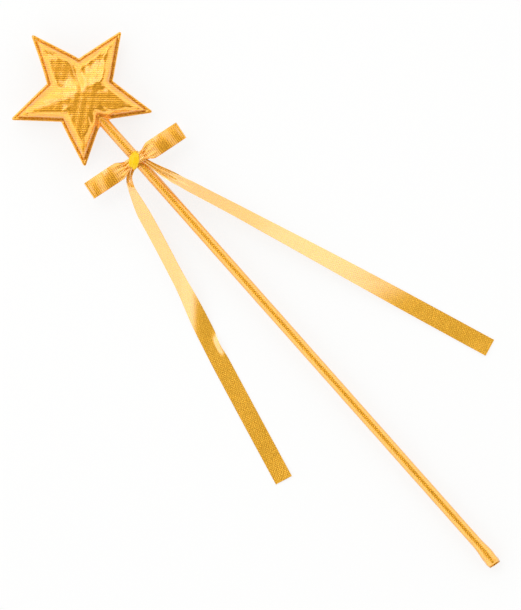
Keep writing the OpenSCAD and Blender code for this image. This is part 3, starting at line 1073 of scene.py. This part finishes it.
dense = np.linspace(0.0, 1.0, 2001)
dense_y, dense_z = loop_route(dense)
loop_run = np.concatenate([[0.0], np.cumsum(np.hypot(np.diff(dense_y), np.diff(dense_z)))])
print(f"loop ribbon {loop_run[-1]:.1f} mm out and back")

# %% Loops
FAN = 0.6
FAN_RUN = 11.0
CUP = 0.5
CREST = 0.5
DENT = 1.5


def carry_loop(mirror):
    def carry(u, v):
        y, z = loop_route(u)
        y2, z2 = loop_route(np.clip(u + 0.004, 0.0, 1.0))
        y1, z1 = loop_route(np.clip(u - 0.004, 0.0, 1.0))
        ty, tz = y2 - y1, z2 - z1
        size = np.hypot(ty, tz)
        ty, tz = ty / size, tz / size
        from_knot = y - LOOP_START
        opening = ramp(from_knot / 6.5)
        width = mix(GATHER_W, RIBBON_W, opening)
        side = np.where(u < 0.5, 1.0, -1.0)
        fan = FAN * (1.0 - ramp(from_knot / FAN_RUN)) * np.cos(2 * np.pi * 3.0 * v + 0.8 * mirror)
        cup = -CUP * (2.0 * v) ** 2 * ramp(from_knot / 8.0) * ramp((LOOP_LEN - y) / 4.0)
        dent = CREST * ramp((from_knot - 5.0 + 3.0 * v) / 8.0)
        dent = dent - DENT * ramp((from_knot - 16.0 + 2.0 * v) / 8.5)
        lift = side * fan + cup + dent * ramp((0.5 - u) / 0.06)
        along = np.interp(u, dense, loop_run)
        normal_y, normal_z = -tz, ty
        places = np.column_stack([v * width, y + normal_y * lift, z + normal_z * lift])
        places[:, 1] = places[:, 1] * mirror
        return on_bow(places), along, v * RIBBON_W
    return carry


for hand, mirror in (("left", 1.0), ("right", -1.0)):
    loop = ribbon_strip(f"bow_loop_{hand}_ribbon", 110, 20, carry_loop(mirror))
    thicken(loop, RIBBON_T)
    turn_outwards(loop)
    loop.data.materials.append(bow_lame)
    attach(loop, "wand")
    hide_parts(f"bow_loop_{hand}")
print("two loops made")

# %% [markdown]
# ## The gathered middle
# Under the tie the ribbon is squeezed into a bundle of pleats. A closed strip is wrapped into a tube
# whose section has small folds all round, drawn in at the waist where the tie grips it.

# %% Gather
GATHER_HALF = 6.4
GATHER_RADII = (3.25, 2.0)
WAIST = 0.24
FOLDS = 9.0
FOLD_DEPTH = 0.12


def carry_gather(u, v):
    y = mix(-GATHER_HALF, GATHER_HALF, u)
    turn = 2 * np.pi * v
    waist = 1.0 - WAIST * np.exp(-(y / 2.6) ** 2)
    fold = 1.0 + FOLD_DEPTH * np.cos(FOLDS * turn + 0.25 * y)
    x = GATHER_RADII[0] * waist * fold * np.sin(turn)
    z = LOOP_MID_Z + GATHER_RADII[1] * waist * fold * np.cos(turn)
    return on_bow(np.column_stack([x, y, z])), y + GATHER_HALF, v * 2 * np.pi * 2.6


gather = ribbon_strip("bow_gather_pleats", 40, 108, carry_gather)
pick(gather)
bpy.ops.object.mode_set(mode="EDIT")
bpy.ops.mesh.select_all(action="SELECT")
bpy.ops.mesh.remove_doubles(threshold=0.01 * MM)
bpy.ops.mesh.select_all(action="DESELECT")
bpy.ops.mesh.select_non_manifold()
bpy.ops.mesh.edge_face_add()
bpy.ops.object.mode_set(mode="OBJECT")
turn_outwards(gather)
bpy.ops.object.shade_smooth_by_angle(angle=math.radians(60.0))
gather.data.materials.append(bow_lame)
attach(gather, "wand")
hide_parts("bow_gather")
print("gather faces:", len(gather.data.polygons))

# %% [markdown]
# ## The tie
# A band of plain yellow satin goes round the stick and the bow. It is broad and puffed over the
# front and drawn into tight pleats at the sides. A strip is closed into a slanted ring, drawn in at
# the back and leaning over the bow, its section arched over the front and folded where it narrows.

# %% Satin
SATIN_TONES = [(0.3, (0.86, 0.52, 0.002)), (0.7, (0.98, 0.64, 0.004))]


def yellow_satin():
    material, tree, shader = new_finish("yellow_satin")
    cloth = along_cloth(tree)
    stretch = tree.nodes.new("ShaderNodeMapping")
    stretch.inputs["Scale"].default_value = (0.12, 1.0, 1.0)
    tree.links.new(cloth, stretch.inputs["Vector"])
    floats = shader_noise(tree, stretch.outputs["Vector"], scale=2600.0, detail=2.0)
    tree.links.new(shader_ramp(tree, floats, SATIN_TONES), shader.inputs["Base Color"])
    shader.inputs["Roughness"].default_value = 0.42
    shader.inputs["Specular IOR Level"].default_value = 0.3
    raise_bump(tree, shader, floats, 0.05 * MM)
    return material


satin = yellow_satin()
print("satin ready")

# %% Tie
TIE_SLANT = math.radians(37.0)
TIE_W = 6.4
TIE_SIDE_W = 3.0
TIE_BACK_W = 3.2
TIE_REACH = 5.6
TIE_TOP = 8.55
TIE_BOTTOM = -5.05
TIE_LEAN = 2.0
TIE_SQUARE = 0.72
TIE_ARCH = np.radians(200.0)
TIE_PLEATS = 3.5
DRAWN_IN = 0.12


def carry_tie(u, v):
    turn = 2 * np.pi * u
    front = np.maximum(np.cos(turn), 0.0) ** 1.5
    back = np.maximum(-np.cos(turn), 0.0) ** 1.5
    width = TIE_SIDE_W + (TIE_W - TIE_SIDE_W) * front + (TIE_BACK_W - TIE_SIDE_W) * back
    middle = (TIE_TOP + TIE_BOTTOM) / 2.0
    rise = (TIE_TOP - TIE_BOTTOM) / 2.0
    bend = TIE_ARCH * v
    swell = mix(0.75, 1.35, front)
    pleat = mix(0.42, 0.1, front) * np.cos(2 * np.pi * TIE_PLEATS * v + 1.1 * np.sin(2 * turn))
    out = swell * (np.cos(bend) - 0.55) + pleat
    x = width / 2.0 * np.sin(bend)
    normal_y, normal_z = rise * np.sin(turn), TIE_REACH * np.cos(turn)
    size = np.hypot(normal_y, normal_z)
    drawn_in = 1.0 - DRAWN_IN * ramp((0.2 - np.cos(turn)) / 1.2)
    y = TIE_REACH * drawn_in * squarish(np.sin(turn), TIE_SQUARE) + normal_y / size * out
    z = middle + rise * squarish(np.cos(turn), TIE_SQUARE) + normal_z / size * out
    c, s = math.cos(TIE_SLANT), math.sin(TIE_SLANT)
    over = 0.5 + 0.5 * np.cos(turn)
    tie_x = KNOT_X + 0.4 * over + x * c - y * s
    tie_y = TIE_LEAN * over + x * s + y * c
    return np.column_stack([tie_x, tie_y, z]), turn * 6.9, v * 10.0


tie = ribbon_strip("bow_tie_satin", 120, 36, carry_tie)
pick(tie)
bpy.ops.object.mode_set(mode="EDIT")
bpy.ops.mesh.select_all(action="SELECT")
bpy.ops.mesh.remove_doubles(threshold=0.01 * MM)
bpy.ops.object.mode_set(mode="OBJECT")
turn_outwards(tie)
thicken(tie, RIBBON_T)
tie.data.materials.append(satin)
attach(tie, "wand")
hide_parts("bow_tie")
print("tie faces:", len(tie.data.polygons))

# %% [markdown]
# ## The tails
# Each tail is one long ribbon. It leaves the knot in pleats, opens to its width, stands on its outer
# edge along its upper half and lies flat towards its end, which is why it is pale above and deep
# gold below. The section is added up from the outer edge, which rests on the table, so that a tilt
# that fades along a slanted line makes the slanted fold of the left tail, and a short curl of its
# inner edge comes just past that fold. In motion the start of the tail swings at the knot and the rest
# lifts a little further along; here each tail is made as one piece, in its resting place.

# %% Tail route
TAIL_T = 0.3
ROOT_W = 3.2
ROOT_ROUND = ROOT_W / 2.0
TAIL_OPENING = 36.0
TAIL_FALL = 60.0
ROUTE_STEP = 0.5
ROUTE_SMOOTHING = 60


def walked(route):
    return np.concatenate([[0.0], np.cumsum(np.linalg.norm(np.diff(route, axis=0), axis=1))])


def smooth_route(corners):
    corners = np.array(corners)
    run = walked(corners)
    even = np.arange(0.0, run[-1], ROUTE_STEP)
    route = np.column_stack([np.interp(even, run, corners[:, k]) for k in (0, 1)])
    for _ in range(ROUTE_SMOOTHING):
        route[1:-1] = 0.5 * route[1:-1] + 0.25 * (route[:-2] + route[2:])
    return route


print("tail routes are stepped every", ROUTE_STEP, "mm")

# %% Tail section
TILT_STEPS = 41
WAVE = 0.25
CURL_LEN = 6.5
CURL_RISE = 2.2
CURL_IN = 0.9
END_RISE = 0.8
END_RUN = 16.0
NO_CURL = -99.0


def carry_tail(tail):
    route = smooth_route(tail["route"])
    run = walked(route)
    total = run[-1]
    ways = np.gradient(route, axis=0)
    ways = ways / np.linalg.norm(ways, axis=1)[:, None]

    def width_at(s):
        root = ROOT_W + tail["bunch"] * (1.0 - ramp(s / 9.0))
        return mix(root, RIBBON_W, ramp((s - ROOT_ROUND) / TAIL_OPENING))

    def tilt_at(s, inner):
        flat_from, flat_to = tail["flat"]
        place = (s + tail["slant"] * inner) / tail["length"]
        rise = ramp((s - tail["turns"][0]) / tail["turns"][1])
        fade = 1.0 - ramp((place - flat_from) / (flat_to - flat_from))
        return math.radians(tail["twist"]) * rise * fade

    def carry(u, v):
        s = u * total
        inner = v * tail["side"]
        centre = np.column_stack([np.interp(s, run, route[:, k]) for k in (0, 1)])
        ahead = np.column_stack([np.interp(s, run, ways[:, k]) for k in (0, 1)])
        level = np.column_stack([-ahead[:, 1], ahead[:, 0]])
        width = width_at(s)
        steps = np.linspace(0.0, 1.0, TILT_STEPS)

        def summed(kind, start, end):
            spots = start[:, None] + (end - start)[:, None] * steps
            values = kind(tilt_at(s[:, None], spots))
            return (values[:, 1:] + values[:, :-1]).mean(axis=1) / 2.0 * (end - start)

        zero = np.zeros_like(inner)
        across = summed(np.cos, zero, inner) * width
        up = summed(np.sin, zero - 0.5, inner) * width
        pleat = tail["pleat"] * (1.0 - ramp(s / tail["pleats"])) * np.cos(4.0 * np.pi * v + tail["side"])
        pleat = pleat * np.minimum(1.0, width / 7.0)
        wave = WAVE * np.sin(s * 0.075 + 1.5 * inner) * ramp((s - 40.0) / 60.0)
        rest = TAIL_T / 2.0 + 0.1
        high = tail["pivot"][2] - table_height(tail["pivot"][0]) - rest
        z = table_height(centre[:, 0]) + rest + up + high * (1.0 - ramp(s / TAIL_FALL))
        z = z + pleat + np.maximum(wave, 0.0)
        curl = np.exp(-((s - tail["curl"]) / CURL_LEN) ** 2) * ramp((inner - 0.12) / 0.38)
        z = z + CURL_RISE * curl
        across = across - CURL_IN * curl
        z = z + END_RISE * ramp((s - total + END_RUN) / END_RUN) * (0.5 + inner)
        plan = centre + level * (across * tail["side"])[:, None]
        return np.column_stack([plan, z]), s, v * RIBBON_W
    return carry, total


print("tail section ready")

# %% [markdown]
# ## Left and right
# Each row below says how one ribbon lies: twist is its tilt in degrees, turns gives where the tilt
# sets in and over what length, flat gives where it fades along the ribbon, and slant how far that
# fade leans. Bunch widens the root, pleat and pleats are the height and the reach of the folds there,
# and route is where the middle of the ribbon lies in the plan.

# %% Tails
TAILS = {
    "left": dict(
        side=1.0, pivot=(352.986, 7.779, 2.65), length=225.0,
        twist=44.0, turns=(5.0, 11.0), flat=(0.36, 0.56), slant=22.0,
        bunch=1.6, pleat=0.5, pleats=17.0, curl=134.0,
        route=[(355.6, 5.0), (354.8, 7.0), (352.9, 10.4), (350.0, 13.2), (346.0, 15.1), (340.0, 17.0),
               (330.0, 19.8), (315.0, 23.2), (300.0, 26.8), (280.0, 31.8), (250.0, 39.8), (220.0, 47.7),
               (180.0, 57.2), (134.0, 68.0)],
    ),
    "right": dict(
        side=-1.0, pivot=(352.109, -3.804, 4.75), length=256.0,
        twist=52.0, turns=(7.0, 24.0), flat=(0.12, 1.05), slant=0.0,
        bunch=0.0, pleat=0.85, pleats=52.0, curl=NO_CURL,
        route=[(353.6, -3.3), (340.0, -7.2), (328.0, -11.6), (310.0, -18.5), (290.0, -26.2),
               (230.0, -48.3), (108.8, -92.1)],
    ),
}
joint_of = {joint["name"]: joint for joint in frame["joints"]}
for hand, tail in TAILS.items():
    carry, total = carry_tail(tail)
    strip = ribbon_strip(f"ribbon_tail_{hand}_cloth", 260, 16, carry)
    thicken(strip, TAIL_T)
    strip.data.materials.append(ribbon_lame)
    lift = joint_of[f"{hand}_tail_lift"]
    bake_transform(strip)
    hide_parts(f"{hand}_tail_gather", f"ribbon_tail_{hand}")
    print(f"{hand} tail {total:.0f} mm long")
